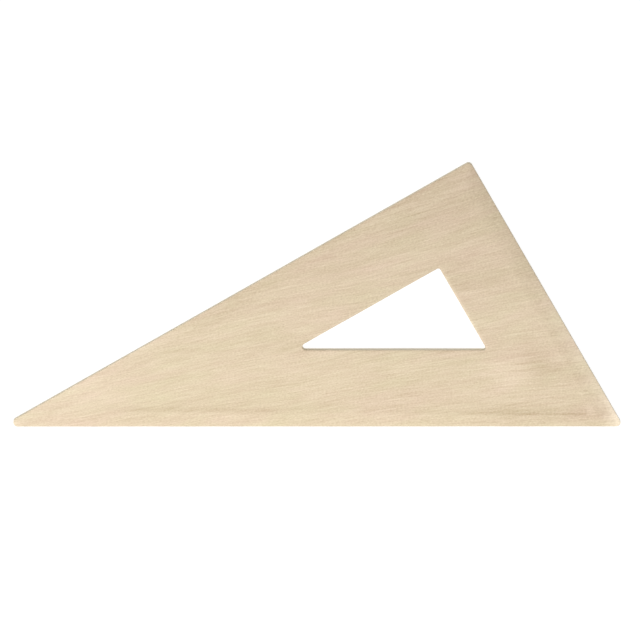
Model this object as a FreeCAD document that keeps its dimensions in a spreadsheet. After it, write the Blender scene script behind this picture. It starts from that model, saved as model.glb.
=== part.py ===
import FreeCAD, Part
import math
import os

import Sketcher

# A wooden 30-60-90 set square, cut from one sheet of three-ply plywood.
#
# The plate lies flat with its bevelled front face up (+Z). The hypotenuse runs along X on the -Y side,
# with the 30 degree corner at -X, the 60 degree corner at +X and the right angle at +Y. The origin is
# the middle of the plate's bounding box, on the back face. Each layer of the plywood is one body: two
# thick face veneers, a thinner core whose grain crosses theirs, and the two films of glue between.

V = FreeCAD.Vector

# Driving dimensions, in millimetres and degrees. The hypotenuse is measured to the sharp corners,
# before they are rounded. The window is sawn by hand, so its three bands differ a little. The bevel
# stays inside the face veneer, which keeps a thin square edge.
DIMENSIONS = {
    "hypotenuse": 300.0,
    "narrow_angle": 30.0,
    "hypotenuse_band": 37.9,
    "short_leg_band": 38.3,
    "long_leg_band": 37.3,
    "face_veneer": 1.7,
    "glue_line": 0.1,
    "core_veneer": 1.4,
    "bevel_width": 9.0,
    "bevel_drop": 1.5,
    "narrow_corner_radius": 2.1,
    "wide_corner_radius": 2.0,
    "square_corner_radius": 2.0,
    "window_narrow_radius": 1.7,
    "window_wide_radius": 1.0,
    "window_square_radius": 1.2,
    "arris_radius": 0.3,
}

# From the back face up: each layer's name and the cell that holds its thickness.
LAYERS = (
    ("back_face_veneer", "face_veneer"),
    ("back_glue_line", "glue_line"),
    ("core_veneer", "core_veneer"),
    ("front_glue_line", "glue_line"),
    ("front_face_veneer", "face_veneer"),
)

# Expressions on the sheet. The window is a smaller triangle of the same shape, with a band between
# each of its sides and the plate's. A rounded corner stops short of the sharp one, which sets how far
# the plate reaches.
NARROW = "(Dimensions.narrow_angle * 1 deg)"
WIDE = "(90 deg - Dimensions.narrow_angle * 1 deg)"
BAND = "Dimensions.hypotenuse_band"
WINDOW_X = f"(Dimensions.long_leg_band + {BAND} * cos({NARROW})) / sin({NARROW})"
WINDOW_REST = f"(Dimensions.short_leg_band + {BAND} * cos({WIDE})) / sin({WIDE})"
WINDOW_BASE = f"Dimensions.hypotenuse - {WINDOW_X} - {WINDOW_REST}"
LEFT = f"Dimensions.narrow_corner_radius * (1 / tan({NARROW} / 2) - 1)"
RIGHT = f"Dimensions.hypotenuse - Dimensions.wide_corner_radius * (1 / tan({WIDE} / 2) - 1)"
APEX = f"Dimensions.hypotenuse * sin({NARROW}) * cos({NARROW})"
TOP = f"{APEX} - Dimensions.square_corner_radius * (sqrt(2) * sin(45 deg + {NARROW}) - 1)"

NEAR = 1e-4


def make_sheet(doc):
    """The spreadsheet that holds the driving dimensions, an aliased cell for each."""
    sheet = doc.addObject("Spreadsheet::Sheet", "Dimensions")
    for row, (alias, value) in enumerate(DIMENSIONS.items(), start=1):
        sheet.set(f"A{row}", alias)
        sheet.set(f"B{row}", str(value))
        sheet.setAlias(f"B{row}", alias)
    doc.recompute()


def sharp_corners(inset, short_inset, long_inset):
    """The narrow, wide and square corners of a triangle that lies inside the plate's, by an inset
    from the hypotenuse, the short leg and the long leg."""
    narrow = math.radians(DIMENSIONS["narrow_angle"])
    wide = math.pi / 2 - narrow
    start = V((long_inset + inset * math.cos(narrow)) / math.sin(narrow), inset, 0)
    rest = (short_inset + inset * math.cos(wide)) / math.sin(wide)
    base = DIMENSIONS["hypotenuse"] - start.x - rest
    leg = base * math.cos(narrow)
    square = start + V(leg * math.cos(narrow), leg * math.sin(narrow), 0)
    return start, start + V(base, 0, 0), square


def outline_corners():
    """The plate's own sharp corners."""
    return sharp_corners(0, 0, 0)


def window_corners():
    """The window's sharp corners, a band in from each side."""
    bands = ("hypotenuse_band", "short_leg_band", "long_leg_band")
    return sharp_corners(*(DIMENSIONS[band] for band in bands))


def bind(sketch, name, constraint, expression):
    """Adds a dimension to the sketch and drives it from the sheet."""
    sketch.renameConstraint(sketch.addConstraint(constraint), name)
    sketch.setExpression(f"Constraints.{name}", expression)


def triangle_sketch(body, name, corners, corner_x, corner_y, base_length):
    """A right triangle on the body's base plane, driven by its narrow corner and its base."""
    sketch = body.newObject("Sketcher::SketchObject", f"{body.Name}_{name}")
    planes = {feature.Role: feature for feature in body.Origin.OriginFeatures}
    sketch.AttachmentSupport = [(planes["XY_Plane"], "")]
    sketch.MapMode = "FlatFace"
    narrow, wide, square = corners
    base = sketch.addGeometry(Part.LineSegment(narrow, wide))
    short_leg = sketch.addGeometry(Part.LineSegment(wide, square))
    long_leg = sketch.addGeometry(Part.LineSegment(square, narrow))
    for line, following in ((base, short_leg), (short_leg, long_leg), (long_leg, base)):
        sketch.addConstraint(Sketcher.Constraint("Coincident", line, 2, following, 1))
    sketch.addConstraint(Sketcher.Constraint("Horizontal", base))
    sketch.addConstraint(Sketcher.Constraint("Perpendicular", short_leg, long_leg))
    angle = math.radians(DIMENSIONS["narrow_angle"])
    length = wide.x - narrow.x
    bind(sketch, "narrow_angle", Sketcher.Constraint("Angle", base, 1, long_leg, 2, angle), NARROW)
    bind(sketch, "base_length", Sketcher.Constraint("DistanceX", base, 1, base, 2, length), base_length)
    bind(sketch, "corner_x", Sketcher.Constraint("DistanceX", -1, 1, base, 1, narrow.x), corner_x)
    bind(sketch, "corner_y", Sketcher.Constraint("DistanceY", -1, 1, base, 1, narrow.y), corner_y)
    return sketch


def edge_names(shape, wanted):
    """The names that a feature uses for the wanted edges of a shape."""
    return [
        f"Edge{number}"
        for number, edge in enumerate(shape.Edges, start=1)
        if any(edge.isSame(other) for other in wanted)
    ]


def edges_at(shape, place):
    """The upright edges of a shape that stand at a corner."""
    offsets = [[(vertex.Point - place) for vertex in edge.Vertexes] for edge in shape.Edges]
    return [
        edge
        for edge, ends in zip(shape.Edges, offsets)
        if all(math.hypot(end.x, end.y) < NEAR for end in ends)
    ]


def rim_edges(shape, height):
    """The edges at one height where an upright face ends."""
    upright = [face for face in shape.Faces if abs(face.normalAt(0, 0).z) < NEAR]
    return [
        edge
        for face in upright
        for edge in face.Edges
        if all(abs(vertex.Z - height) < NEAR for vertex in edge.Vertexes)
    ]


def round_over(body, name, edges, radius):
    """Rounds edges of the body's newest feature to a radius from the sheet."""
    base = body.Tip
    fillet = body.newObject("PartDesign::Fillet", f"{body.Name}_{name}")
    fillet.Base = (base, edge_names(base.Shape, edges))
    fillet.setExpression("Radius", f"Dimensions.{radius}")
    body.Document.recompute()


def round_corners(body, corners, radii):
    """Rounds the upright corners of a triangle, each to its own radius."""
    for corner, radius in zip(corners, radii):
        round_over(body, radius, edges_at(body.Tip.Shape, corner), radius)


def saw_sheet(body, thickness):
    """The layer as a sharp-cornered triangle of veneer or glue."""
    outline = triangle_sketch(body, "outline", outline_corners(), "0", "0", "Dimensions.hypotenuse")
    sheet = body.newObject("PartDesign::Pad", f"{body.Name}_sheet")
    sheet.Profile = outline
    sheet.setExpression("Length", f"Dimensions.{thickness}")
    body.Document.recompute()


def plane_bevels(body):
    """The long shallow bevel along all three ruling edges, mitred at the corners."""
    base = body.Tip
    bevels = body.newObject("PartDesign::Chamfer", f"{body.Name}_bevels")
    bevels.Base = (base, edge_names(base.Shape, rim_edges(base.Shape, DIMENSIONS["face_veneer"])))
    bevels.ChamferType = "Two distances"
    bevels.setExpression("Size", "Dimensions.bevel_drop")
    bevels.setExpression("Size2", "Dimensions.bevel_width")
    body.Document.recompute()


def cut_window(body):
    """The triangular window, sawn right through the layer."""
    opening = triangle_sketch(body, "window", window_corners(), WINDOW_X, BAND, WINDOW_BASE)
    volume = body.Tip.Shape.Volume
    window = body.newObject("PartDesign::Pocket", f"{body.Name}_window_cut")
    window.Profile = opening
    window.Type = "ThroughAll"
    window.Reversed = True
    body.Document.recompute()
    if window.Shape.Volume > 0.99 * volume:
        raise ValueError(f"the window of {body.Name} cuts nothing")


def make_layer(doc, name, thickness, underside):
    """One layer of the plywood, laid at its height with its window and its rounded corners."""
    body = doc.addObject("PartDesign::Body", name)
    body.Label = name
    saw_sheet(body, thickness)
    if name == "front_face_veneer":
        plane_bevels(body)
    outer_radii = ("narrow_corner_radius", "wide_corner_radius", "square_corner_radius")
    round_corners(body, outline_corners(), outer_radii)
    cut_window(body)
    window_radii = ("window_narrow_radius", "window_wide_radius", "window_square_radius")
    round_corners(body, window_corners(), window_radii)
    # Only the plate's own two faces have edges that sandpaper reaches.
    if name == "front_face_veneer":
        round_over(body, "arris", rim_edges(body.Tip.Shape, DIMENSIONS[thickness]), "arris_radius")
    if name == "back_face_veneer":
        round_over(body, "arris", rim_edges(body.Tip.Shape, 0), "arris_radius")
    body.setExpression("Placement.Base.x", f"-({LEFT} + {RIGHT}) / 2")
    body.setExpression("Placement.Base.y", f"-({TOP}) / 2")
    body.setExpression("Placement.Base.z", underside)
    return body


def check(doc, bodies):
    """Stops before anything is written if a feature failed or a layer isn't a sound solid."""
    for item in doc.Objects:
        if "Invalid" in item.State or "Error" in item.State:
            raise ValueError(f"{item.Label} failed: {item.State}")
    for body in bodies:
        if body.Shape.isNull() or not body.Shape.isValid() or len(body.Shape.Solids) != 1:
            raise ValueError(f"{body.Label} isn't one valid solid")


def main():
    doc = FreeCAD.newDocument("set_square")
    make_sheet(doc)
    bodies = []
    underside = "0"
    for name, thickness in LAYERS:
        bodies.append(make_layer(doc, name, thickness, underside))
        underside += f" + Dimensions.{thickness}"
    doc.recompute()
    check(doc, bodies)
    os.makedirs("parts", exist_ok=True)
    for body in bodies:
        box = body.Shape.BoundBox
        print(f"{body.Label}: {body.Shape.Volume:.1f} mm3, z {box.ZMin:.2f} to {box.ZMax:.2f}")
        body.Shape.exportStep(f"parts/{body.Label}.step")


main()
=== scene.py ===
import math

import bpy
from mathutils import Euler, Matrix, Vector, noise


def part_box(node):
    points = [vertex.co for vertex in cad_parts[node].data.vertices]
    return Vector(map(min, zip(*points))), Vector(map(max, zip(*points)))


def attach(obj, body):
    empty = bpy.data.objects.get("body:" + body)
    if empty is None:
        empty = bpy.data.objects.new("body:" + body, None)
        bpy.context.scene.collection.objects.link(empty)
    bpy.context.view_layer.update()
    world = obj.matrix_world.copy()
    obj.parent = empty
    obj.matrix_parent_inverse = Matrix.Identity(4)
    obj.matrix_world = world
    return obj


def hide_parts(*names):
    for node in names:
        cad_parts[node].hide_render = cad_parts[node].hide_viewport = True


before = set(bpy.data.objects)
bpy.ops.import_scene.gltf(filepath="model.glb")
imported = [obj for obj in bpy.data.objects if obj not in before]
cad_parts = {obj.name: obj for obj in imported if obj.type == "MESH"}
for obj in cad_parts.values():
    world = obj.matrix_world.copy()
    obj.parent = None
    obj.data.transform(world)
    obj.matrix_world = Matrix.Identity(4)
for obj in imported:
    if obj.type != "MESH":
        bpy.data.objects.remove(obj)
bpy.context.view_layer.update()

# A wooden 30-60-90 set square of three-ply plywood, lying bevelled face up on a lit white table.
# Lengths are in millimetres until a mesh is made, and the row's frame is in metres.

MM = 0.001

# The plate's outline: its corners' angles and radii, before the hand sanding. The window's radii
# are the saw's.
NARROW, WIDE, SQUARE = 0, 1, 2
ANGLES = (math.radians(30), math.radians(60), math.radians(90))
CORNER_RADII = (2.1, 2.0, 2.0)
WINDOW_RADII = (1.7, 1.0, 1.2)

# Each side runs from one corner to the next, and the sawn bands beside them aren't quite alike.
HYPOTENUSE, SHORT_LEG, LONG_LEG = 0, 1, 2
BAND_WIDTHS = (37.9, 38.3, 37.3)
BAND_WIDTH = BAND_WIDTHS[HYPOTENUSE]
# The outline's own corner gives way to the window's over the last few millimetres of the band.
WINDOW_BLEND = 4.0

# The planed bevel starts this far in from the middle of each side, and grows wider by the taper for
# each millimetre along. It is crowned: flat where it leaves the face and steepest at the rim. Its
# width wanders by a little, over a length.
BEVEL_WIDTHS = (7.7, 9.8, 10.2)
BEVEL_TAPERS = (-0.0108, 0.0, 0.0)
BEVEL_DROPS = (1.5, 1.25, 1.5)
BEVEL_CROWN = 2.0
BEVEL_WANDER = 0.7
BEVEL_WANDER_LENGTH = 38
MITRE_SOFTNESS = 1.4

# What sandpaper and handling took off: arris radii, the window rim's wear (its width and depth), and
# how far the edge wobbles, over what length and how deep into the plate.
RIM_ARRIS = 0.16
WINDOW_ARRIS = 0.15
BACK_ARRIS = 0.3
WINDOW_WEAR = (1.3, 0.25)
EDGE_WOBBLE = 0.07
EDGE_WOBBLE_LENGTH = 22
EDGE_WOBBLE_DEPTH = 3.0

# The middle layers' sawn edges lie a hair back from the veneers'.
GLUE_RECESS = 0.04
CORE_RECESS = 0.02

# How finely the meshes are drawn: rings lie close over the bevel and the window's wear, and wider
# over the flat land between.
ARC_STEPS = 10
SIDE_STEP = 3.0
ARRIS_STEPS = 4
BEVEL_RINGS_END = 12.4
BEVEL_RING_STEP = 0.6
LAND_RINGS_START = 12.0
LAND_RING_STEP = 3.0
WEAR_RINGS = (0.4, 0.7, 1.0)

# Edges sharper than this angle stay crisp, and faces whose normal rises less than this are sawn ones.
SHARP_FROM = 40
SAWN_BELOW = 0.35


# ---- the outline ---------------------------------------------------------------------------------

def sharp_corners():
    """The outline's three corners before rounding, worked out from the plate's own box."""
    low, high = (Vector(corner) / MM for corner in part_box("core_veneer"))
    half = [angle / 2 for angle in ANGLES]
    left = low.x - CORNER_RADII[NARROW] * (1 / math.tan(half[NARROW]) - 1)
    right = high.x + CORNER_RADII[WIDE] * (1 / math.tan(half[WIDE]) - 1)
    leg = (right - left) * math.cos(ANGLES[NARROW])
    square = Vector((left + leg * math.cos(ANGLES[NARROW]), low.y + leg * math.sin(ANGLES[NARROW])))
    return Vector((left, low.y)), Vector((right, low.y)), square


CORNERS = sharp_corners()
LENGTHS = [(CORNERS[(i + 1) % 3] - CORNERS[i]).length for i in range(3)]
DIRECTIONS = [(CORNERS[(i + 1) % 3] - CORNERS[i]).normalized() for i in range(3)]
OUTWARD = [Vector((d.y, -d.x)) for d in DIRECTIONS]
SIDE_CUTS = [round(length / SIDE_STEP) for length in LENGTHS]


def corner_radius(corner, inset):
    """Radius of the outline's corner at a distance in from the rim."""
    outer = max(CORNER_RADII[corner] - inset, 0)
    near_window = max(0, min(1, 1 - (BAND_WIDTH - inset) / WINDOW_BLEND))
    inner = MITRE_SOFTNESS + (WINDOW_RADII[corner] - MITRE_SOFTNESS) * near_window
    return max(outer, inner)


def corner_arc(corner, inset):
    """Points round one corner, with the blend from one side to the next as the third value."""
    radius = corner_radius(corner, inset)
    before, after = [inset * BAND_WIDTHS[side] / BAND_WIDTH + radius for side in (corner - 1, corner)]
    step_in = DIRECTIONS[corner] * before - DIRECTIONS[corner - 1] * after
    centre = CORNERS[corner] + step_in / math.sin(ANGLES[corner])
    start = math.atan2(OUTWARD[corner - 1].y, OUTWARD[corner - 1].x)
    turn = math.pi - ANGLES[corner]
    arc = []
    for step in range(ARC_STEPS + 1):
        share = step / ARC_STEPS
        angle = start + turn * share
        arc.append((centre + radius * Vector((math.cos(angle), math.sin(angle))), share))
    return arc


def ring(inset):
    """One closed loop round the plate: (x, y, weights of the three sides) for each point."""
    arcs = [corner_arc(corner, inset) for corner in range(3)]
    points = []
    for corner in range(3):
        for place, share in arcs[corner]:
            weights = [0.0, 0.0, 0.0]
            weights[corner - 1] += 1 - share
            weights[corner] += share
            points.append((place, weights))
        start, end = arcs[corner][-1][0], arcs[(corner + 1) % 3][0][0]
        cuts = SIDE_CUTS[corner]
        side = [float(i == corner) for i in range(3)]
        points += [(start.lerp(end, cut / cuts), side) for cut in range(1, cuts)]
    return points


# ---- the plies -----------------------------------------------------------------------------------

def wander(place, length, seed):
    """Smooth unevenness from -1 to 1 that drifts over about a length in mm."""
    return noise.noise(Vector((place.x / length, place.y / length, seed)))


def bevel_fall(place, weights, inset):
    """How far the bevelled face has fallen below the flat one."""
    width = drop = 0.0
    for side in range(3):
        along = (place - CORNERS[side]).dot(DIRECTIONS[side]) - LENGTHS[side] / 2
        width += (BEVEL_WIDTHS[side] + BEVEL_TAPERS[side] * along) * weights[side]
        drop += BEVEL_DROPS[side] * weights[side]
    width += BEVEL_WANDER * wander(place, BEVEL_WANDER_LENGTH, 2.5)
    rise = max(0.0, 1 - inset / width)
    return drop * rise ** BEVEL_CROWN


def sanded_rim(place, weights, inset):
    """Moves a point in a little where the hand-sanded edge isn't quite straight."""
    outward = sum((OUTWARD[i] * weights[i] for i in range(3)), Vector((0, 0))).normalized()
    amount = EDGE_WOBBLE * (0.5 + 0.5 * wander(place, EDGE_WOBBLE_LENGTH, 7.5))
    near_rim = max(0.0, 1 - inset / EDGE_WOBBLE_DEPTH)
    near_window = max(0.0, 1 - (BAND_WIDTH - inset) / EDGE_WOBBLE_DEPTH)
    return place - outward * amount * (near_rim + near_window)


def quarter_round(radius, steps=ARRIS_STEPS):
    """Offsets (in, down) along a rounded arris, from the upright wall to the flat face."""
    angles = [math.pi / 2 * step / steps for step in range(steps + 1)]
    return [(radius * (1 - math.cos(a)), radius * (1 - math.sin(a))) for a in angles]


def insets_between(start, end, step):
    """Even distances in from the rim, without the two ends, about a step apart."""
    count = max(1, round((end - start) / step))
    return [start + (end - start) * k / count for k in range(1, count)]


def front_section(low, high):
    """The front veneer's section as (inset, height, whether the bevel lowers it)."""
    wear_width, wear_depth = WINDOW_WEAR
    slope_insets = insets_between(RIM_ARRIS, BEVEL_RINGS_END, BEVEL_RING_STEP)
    land_insets = insets_between(LAND_RINGS_START, BAND_WIDTH - wear_width, LAND_RING_STEP)
    rim = [(inset, high - down, True) for inset, down in quarter_round(RIM_ARRIS)]
    slope = [(inset, high, True) for inset in slope_insets]
    land = [(inset, high, True) for inset in land_insets]
    worn = quarter_round(WINDOW_ARRIS) + [(inset, 0) for inset in (*WEAR_RINGS, wear_width)]
    window = []
    for inset, down in worn:
        down += wear_depth * (1 - inset / wear_width) ** 2
        window.append((BAND_WIDTH - inset, high - down, True))
    return [(0, low, False)] + rim + slope + land + window[::-1] + [(BAND_WIDTH, low, False)]


def back_section(low, high):
    """The back veneer's section, with its lower edges eased and its underside flat."""
    rim = [(inset, low + down, False) for inset, down in quarter_round(BACK_ARRIS)]
    window = [(BAND_WIDTH - inset, low + down, False) for inset, down in quarter_round(BACK_ARRIS)]
    insets = insets_between(BACK_ARRIS, BAND_WIDTH - BACK_ARRIS, LAND_RING_STEP)
    underside = [(inset, low, False) for inset in insets]
    return rim[::-1] + [(0, high, False), (BAND_WIDTH, high, False)] + window + underside[::-1]


def inner_section(recess):
    """Makes the section of a middle layer, a recess back from the plate's edges."""
    def section(low, high):
        inner = BAND_WIDTH - recess
        return [(recess, low, False), (recess, high, False), (inner, high, False), (inner, low, False)]
    return section


def make_ply(name, node, section, face, edge):
    """A closed ply that stands for a node: its section, swept round the outline."""
    low, high = (corner[2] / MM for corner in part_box(node))
    loops = []
    for inset, height, bevelled in section(low, high):
        loop = []
        for place, weights in ring(inset):
            fall = bevel_fall(place, weights, inset) if bevelled else 0
            moved = sanded_rim(place, weights, inset)
            loop.append((moved.x * MM, moved.y * MM, (height - fall) * MM))
        loops.append(loop)
    around = len(loops[0])
    faces = []
    for row in range(len(loops)):
        after = (row + 1) % len(loops)
        for i in range(around):
            j = (i + 1) % around
            faces.append((row * around + i, row * around + j, after * around + j, after * around + i))
    mesh = bpy.data.meshes.new(name)
    mesh.from_pydata([point for loop in loops for point in loop], [], faces)
    mesh.materials.append(face)
    mesh.materials.append(edge)
    for polygon in mesh.polygons:
        polygon.use_smooth = True
        polygon.material_index = int(abs(polygon.normal.z) < SAWN_BELOW)
    mesh.set_sharp_from_angle(angle=math.radians(SHARP_FROM))
    piece = bpy.data.objects.new(name, mesh)
    bpy.context.scene.collection.objects.link(piece)
    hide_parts(node)
    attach(piece, "root")
    return piece


# ---- materials -----------------------------------------------------------------------------------

def srgb(code):
    """A colour from its sRGB hex code, turned to linear light."""
    channels = [int(code[i:i + 2], 16) / 255 for i in (0, 2, 4)]
    return [c / 12.92 if c <= 0.04045 else ((c + 0.055) / 1.055) ** 2.4 for c in channels] + [1.0]


def add(tree, kind, inputs=None, **settings):
    """Adds a node, with its settings, and with each input set to a value or linked to a socket."""
    made = tree.nodes.new("ShaderNode" + kind)
    for name, value in settings.items():
        setattr(made, name, value)
    for name, value in (inputs or {}).items():
        if isinstance(value, bpy.types.NodeSocket):
            tree.links.new(value, made.inputs[name])
        else:
            made.inputs[name].default_value = value
    return made


def blank_material(name, roughness, ior):
    """A material with only its shader: gives the material, its tree and the shader."""
    material = bpy.data.materials.new(name)
    material.use_nodes = True
    shader = material.node_tree.nodes["Principled BSDF"]
    shader.inputs["Roughness"].default_value = roughness
    shader.inputs["IOR"].default_value = ior
    return material, material.node_tree, shader


def layered(tree, start, layers):
    """A value built up from patterns, each times its weight."""
    total = start
    for pattern, weight in layers:
        total = add(tree, "Math", {0: pattern, 1: weight, 2: total}, operation="MULTIPLY_ADD").outputs[0]
    return total


def plate_place(tree):
    """Where a point lies on the plate, in mm."""
    own = add(tree, "TexCoord").outputs["Object"]
    return add(tree, "VectorMath", {0: own, "Scale": 1 / MM}, operation="SCALE").outputs[0]


def streaks(tree, along, across, depth, size, detail=2.0, seed=0.0):
    """Noise drawn out along the grain: size is a streak's length, width and depth in mm."""
    scaled = [
        add(tree, "Math", {0: socket, 1: 1 / mm}, operation="MULTIPLY").outputs[0]
        for socket, mm in zip((along, across, depth), size)
    ]
    vector = add(tree, "CombineXYZ", {"X": scaled[0], "Y": scaled[1], "Z": scaled[2]}).outputs[0]
    inputs = {"Vector": vector, "W": seed, "Scale": 1.0, "Detail": detail, "Roughness": 0.55}
    return add(tree, "TexNoise", inputs, noise_dimensions="4D").outputs["Fac"]


def painted_light_band(tree, place, side, start, end, fades, inset, taper, widths):
    """A mask beside one side, for painted shade and highlights: 1 along its line and 0 away from it.

    It runs from start to end along the side, in mm, with a fade at each end. Its line lies inset
    from the rim at the side's start and shifts by taper per mm, and it fades over the two widths,
    rimward and then inward."""
    distances = []
    for way in (DIRECTIONS[side], -OUTWARD[side]):
        dot = add(tree, "VectorMath", {0: place, 1: (way.x, way.y, 0.0)}, operation="DOT_PRODUCT")
        distances.append(layered(tree, -CORNERS[side].dot(way), [(dot.outputs["Value"], 1.0)]))
    run, depth = distances
    depth = layered(tree, depth, [(run, -taper)])
    fades_out = (
        (run, start - fades[0], start),
        (run, end + fades[1], end),
        (depth, inset - widths[0], inset),
        (depth, inset + widths[1], inset),
    )
    mark = 1.0
    for distance, gone, full in fades_out:
        inputs = {"Value": distance, "From Min": gone, "From Max": full}
        soft = add(tree, "MapRange", inputs, interpolation_type="SMOOTHSTEP").outputs["Result"]
        mark = add(tree, "Math", {0: mark, 1: soft}, operation="MULTIPLY").outputs[0]
    return mark


def tint_zone(tree, place, middle, reach, turn):
    """A broad soft-edged oval, 1 in its middle: reach is half its length and width in mm."""
    oval = {"Location": (*middle, 0.0), "Rotation": (0.0, 0.0, turn), "Scale": (*reach, 1e6)}
    within = add(tree, "Mapping", {"Vector": place, **oval}, vector_type="TEXTURE").outputs[0]
    ball = add(tree, "TexGradient", {"Vector": within}, gradient_type="SPHERICAL").outputs["Fac"]
    soft = add(tree, "MapRange", {"Value": ball}, interpolation_type="SMOOTHSTEP")
    return soft.outputs["Result"]


def sanded_lime_veneer(name, light, dark, figure, painted_light_marks=(), tones_and_highlight=(), seed=0.0):
    """Rotary-cut limewood, sanded and unvarnished: pale and quiet, with fine broken streaks that
    climb gently across the plate, faint broad bands and no visible pores."""
    material, tree, shader = blank_material(name, 0.62, 1.5)
    place = plate_place(tree)
    axes = add(tree, "SeparateXYZ", {0: place}).outputs
    x, y, z = axes["X"], axes["Y"], axes["Z"]
    # The grain climbs most at the left and top, and lies level at the right end. It also drifts by a
    # few millimetres over a hand's breadth, so no streak is dead straight.
    climb, fan, level = figure
    xy = add(tree, "Math", {0: x, 1: y}, operation="MULTIPLY").outputs[0]
    xx = add(tree, "Math", {0: x, 1: x}, operation="MULTIPLY").outputs[0]
    drift = streaks(tree, x, y, z, (70.0, 70.0, 70.0), 1.0, seed)
    across = layered(tree, y, [(x, -climb), (xy, -fan), (xx, level), (drift, 5.0)])
    # Lime's fibres are too fine to show, so they are drawn a third of a millimetre wide, and the
    # sanded nap half a millimetre. Longer streaks, broad bands and patches lie under them. Each one's
    # weight is how far it can move the tone between dark and light.
    fibre = streaks(tree, x, across, z, (11.0, 0.36, 3.0), 1.0, seed)
    nap = streaks(tree, x, across, z, (1.0, 0.55, 1.0), 1.0, seed + 2)
    layers = [
        (fibre, 0.8),
        (nap, 1.0),
        (streaks(tree, x, across, z, (30.0, 1.1, 6.0), 2.0, seed + 3), 0.25),
        (streaks(tree, x, across, z, (110.0, 8.0, 12.0), 1.0, seed + 7), 0.33),
        (streaks(tree, x, y, z, (40.0, 26.0, 30.0), 1.0, seed + 11), 0.2),
    ]
    tone = layered(tree, 0.5 - 0.5 * sum(weight for _, weight in layers), layers)
    # The marks paint shade at the hypotenuse bevel's foot and by the right angle, and highlights on the
    # bevel crests and rims; the zones add the veneer's own tones and a painted highlight at the 60-degree
    # tip.
    marked = [(painted_light_band(tree, place, *mark), strength) for *mark, strength in painted_light_marks]
    marked += [(tint_zone(tree, place, *zone), strength) for *zone, strength in tones_and_highlight]
    tone = layered(tree, tone, marked)
    hue = streaks(tree, x, across, z, (34.0, 9.0, 10.0), 3.0, seed + 17)
    blush = add(tree, "Mix", {0: hue, 6: srgb("FFF3F6"), 7: srgb("F6FFEA")}, data_type="RGBA").outputs[2]
    ends = {0: tone, 6: srgb(dark), 7: srgb(light)}
    body = add(tree, "Mix", ends, data_type="RGBA", clamp_factor=False).outputs[2]
    inputs = {0: 1.0, 6: body, 7: blush}
    colour = add(tree, "Mix", inputs, data_type="RGBA", blend_type="MULTIPLY").outputs[2]
    tree.links.new(colour, shader.inputs["Base Color"])
    rough = {"Value": fibre, "From Min": 0.3, "From Max": 0.7, "To Min": 0.68, "To Max": 0.56}
    roughness = add(tree, "MapRange", rough).outputs["Result"]
    tree.links.new(roughness, shader.inputs["Roughness"])
    raised = add(tree, "Bump", {"Height": fibre, "Strength": 0.35, "Distance": 0.04 * MM}).outputs[0]
    tree.links.new(raised, shader.inputs["Normal"])
    return material


def sawn_edge(name, light, dark, size, seed=0.0):
    """The sawn and lightly sanded edge of a ply: duller and a little darker than its face."""
    material, tree, shader = blank_material(name, 0.75, 1.5)
    place = plate_place(tree)
    axes = add(tree, "SeparateXYZ", {0: place}).outputs
    lines = streaks(tree, axes["X"], axes["Y"], axes["Z"], size, 3.0, seed)
    tone = layered(tree, -0.2, [(lines, 1.4)])
    colour = add(tree, "Mix", {0: tone, 6: srgb(dark), 7: srgb(light)}, data_type="RGBA").outputs[2]
    tree.links.new(colour, shader.inputs["Base Color"])
    raised = add(tree, "Bump", {"Height": lines, "Strength": 0.5, "Distance": 0.06 * MM}).outputs[0]
    tree.links.new(raised, shader.inputs["Normal"])
    return material


def cured_glue(name):
    """Hard-set wood glue: a thin, smooth, light brown line between the plies."""
    material, tree, shader = blank_material(name, 0.4, 1.5)
    patches = {"Vector": plate_place(tree), "Scale": 0.5, "Detail": 2.0}
    starved = add(tree, "TexNoise", patches).outputs["Fac"]
    inputs = {0: starved, 6: srgb("8A6F4E"), 7: srgb("A58A66")}
    colour = add(tree, "Mix", inputs, data_type="RGBA").outputs[2]
    tree.links.new(colour, shader.inputs["Base Color"])
    return material


def light_table(name):
    """Opal acrylic lit softly from below, which keeps the background white and drinks up shadows."""
    material, _, shader = blank_material(name, 0.9, 1.49)
    shader.inputs["Base Color"].default_value = srgb("7C7C7C")
    shader.inputs["Specular IOR Level"].default_value = 0.1
    shader.inputs["Emission Color"].default_value = srgb("FFFFFF")
    shader.inputs["Emission Strength"].default_value = 0.9
    return material


# ---- the set square ------------------------------------------------------------------------------

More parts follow.
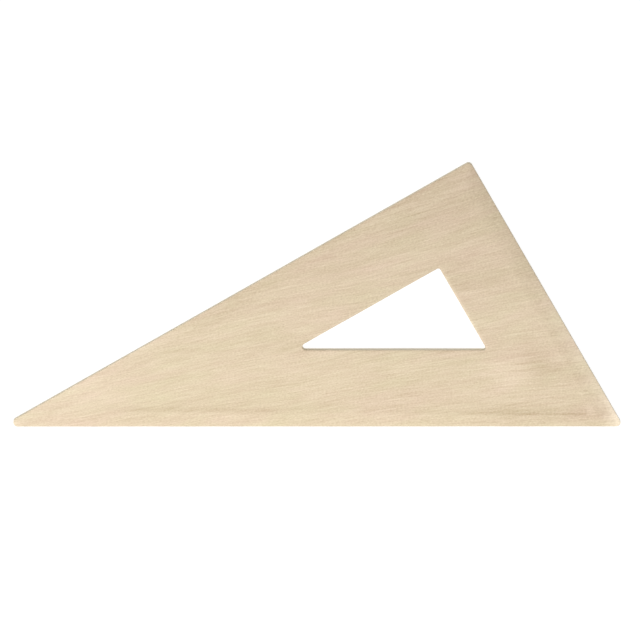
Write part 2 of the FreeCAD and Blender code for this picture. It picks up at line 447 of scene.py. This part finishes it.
# Painted shade and painted highlights that run beside the sides. For each mark: its side, where it
# starts and ends along it, the fades at its ends, its distance in from the rim, how that shifts along
# the side, its widths towards the rim and inward, and how much lighter (or, below 0, darker) it is.
PAINTED_SHADE_AND_HIGHLIGHTS = (
    # Painted shade along the foot of the hypotenuse's bevel, at its crease.
    (HYPOTENUSE, 70, 281, (30, 2), 9.3, -0.0108, (1.4, 6.5), -0.10),
    (HYPOTENUSE, 60, 128, (20, 12), 9.3, -0.0108, (2.0, 2.6), -0.14),
    (HYPOTENUSE, 232, 281, (20, 2), 9.3, -0.0108, (1.4, 8.0), -0.10),
    (HYPOTENUSE, 250, 281, (20, 2), 9.3, -0.0108, (0.8, 1.0), -0.22),
    # Painted highlights along the crests of the legs' bevels.
    (LONG_LEG, 15, 240, (15, 20), 8.6, 0.0, (1.0, 1.2), 0.05),
    (SHORT_LEG, 15, 75, (10, 50), 9.6, 0.0, (1.6, 2.0), 0.05),
    # Painted highlights along the window's upper rims.
    (LONG_LEG, 50, 105, (12, 12), 37.3, 0.0, (1.5, 5.0), 0.26),
    (SHORT_LEG, 74, 104, (8, 8), 38.3, 0.0, (1.8, 5.0), 0.24),
    # Painted highlights on the rim towards the narrower corners and along the hypotenuse.
    (SHORT_LEG, 0, 35, (4, 75), 0.0, 0.0, (1.0, 8.0), 0.40),
    (SHORT_LEG, 0, 10, (4, 14), 0.0, 0.0, (1.0, 3.5), 0.40),
    (HYPOTENUSE, 0, 280, (10, 10), 0.0, 0.0, (1.0, 3.2), 0.14),
    (LONG_LEG, 200, 258, (90, 4), 0.0, 0.0, (1.0, 8.0), 0.22),
    # Painted shade on the long leg's rim towards the right angle.
    (LONG_LEG, 20, 65, (15, 30), 0.0, 0.0, (1.0, 3.0), -0.12),
)

# The veneer's own paler and darker places, and a painted highlight at the 60-degree tip: middle, reach,
# turn and how much lighter or darker.
VENEER_TONES_AND_TIP_HIGHLIGHT = (
    ((-47, -7), (38, 13), 0.45, -0.16),
    ((-105, -49), (42, 11), 0.22, 0.13),
    ((91, -38), (20, 10), -0.4, 0.18),
    ((52, -48), (38, 14), 0.1, -0.08),
    ((52, 42), (34, 15), 0.5, -0.13),
    ((107, -32), (18, 11), -1.0, -0.12),
    # Painted highlight at the 60-degree corner's tip.
    ((145, -62), (12, 9), 0.0, 0.4),
)


def make_set_square():
    figure = (0.24, 0.0015, 0.00035)
    front = sanded_lime_veneer("sanded_lime_front", "EDDDC7", "C2AD92", figure, PAINTED_SHADE_AND_HIGHLIGHTS, VENEER_TONES_AND_TIP_HIGHLIGHT)
    figure = (0.05, 0.0, 0.0001)
    back = sanded_lime_veneer("sanded_lime_back", "ECDBC3", "C2AC8F", figure, seed=31.0)
    veneer_edge = sawn_edge("sawn_veneer_edge", "EAE0CA", "D9CEB5", (6.0, 6.0, 0.25))
    core_edge = sawn_edge("sawn_core_edge", "E1D7BF", "CDC1A8", (0.45, 2.5, 0.45), seed=5.0)
    glue = cured_glue("cured_glue")
    plies = (
        ("back_veneer", "back_face_veneer", back_section, back, veneer_edge, "face_veneer"),
        ("back_glue_film", "back_glue_line", inner_section(GLUE_RECESS), glue, glue, "glue"),
        ("core_ply", "core_veneer", inner_section(CORE_RECESS), core_edge, core_edge, "core_veneer"),
        ("front_glue_film", "front_glue_line", inner_section(GLUE_RECESS), glue, glue, "glue"),
        ("front_veneer", "front_face_veneer", front_section, front, veneer_edge, "face_veneer"),
    )
    for name, node, section, face, edge, slot in plies:
        piece = make_ply(name, node, section, face, edge)


# ---- table, light and camera ---------------------------------------------------------------------

def make_table():
    """The table's opal top, larger than any view takes in, just under the plate."""
    half, drop = 3.0, 0.0002
    mesh = bpy.data.meshes.new("table")
    square = [(-half, -half, -drop), (half, -half, -drop), (half, half, -drop), (-half, half, -drop)]
    mesh.from_pydata(square, [], [(0, 1, 2, 3)])
    mesh.materials.append(light_table("opal_acrylic"))
    table = bpy.data.objects.new("table", mesh)
    bpy.context.scene.collection.objects.link(table)


def hang_lamp(lamp, place, aim):
    """Puts a lamp in the room, turned towards a point."""
    hung = bpy.data.objects.new(lamp.name, lamp)
    hung.location = place
    hung.rotation_euler = (Vector(aim) - Vector(place)).to_track_quat("-Z", "Y").to_euler()
    bpy.context.scene.collection.objects.link(hung)


def make_key_light():
    """A softbox well over to the left, which models the bevels."""
    lamp = bpy.data.lights.new("key_softbox", "AREA")
    lamp.shape = "SQUARE"
    lamp.size = 1.2
    lamp.energy = 38.8
    hang_lamp(lamp, (-1.8, -0.4, 2.0), (0, 0, 0))


def make_feathered_light():
    """A soft-edged spot overhead, whose beam is centred below the hypotenuse and fades towards the
    right-angled corner."""
    lamp = bpy.data.lights.new("feathered_spot", "SPOT")
    lamp.spot_size = math.radians(40)
    lamp.spot_blend = 1.0
    lamp.shadow_soft_size = 0.12
    lamp.energy = 71.4
    hang_lamp(lamp, (0, -0.4, 1.7), (0, -0.36, 0))


def make_room_light(strength):
    """Even white light from all round the room."""
    world = bpy.data.worlds.new("room")
    world.use_nodes = True
    background = world.node_tree.nodes["Background"]
    background.inputs["Color"].default_value = (1, 1, 1, 1)
    background.inputs["Strength"].default_value = strength
    bpy.context.scene.world = world


def make_camera():
    """A long lens nearly overhead, tipped back a little from the right-angled corner."""
    lens = bpy.data.cameras.new("camera")
    lens.lens = 400
    lens.sensor_width = 36
    camera = bpy.data.objects.new("camera", lens)
    turn = Euler([math.radians(angle) for angle in (-11.729, -0.862, 0.178)])
    camera.rotation_euler = turn
    aim = Vector((0.00124, -0.01227, 0.0025))
    camera.location = aim + turn.to_matrix() @ Vector((0, 0, 3.4185))
    bpy.context.scene.collection.objects.link(camera)
    bpy.context.scene.camera = camera


make_set_square()
make_table()
make_key_light()
make_feathered_light()
make_room_light(0.33)
make_camera()
bpy.context.scene.view_settings.view_transform = "Standard"
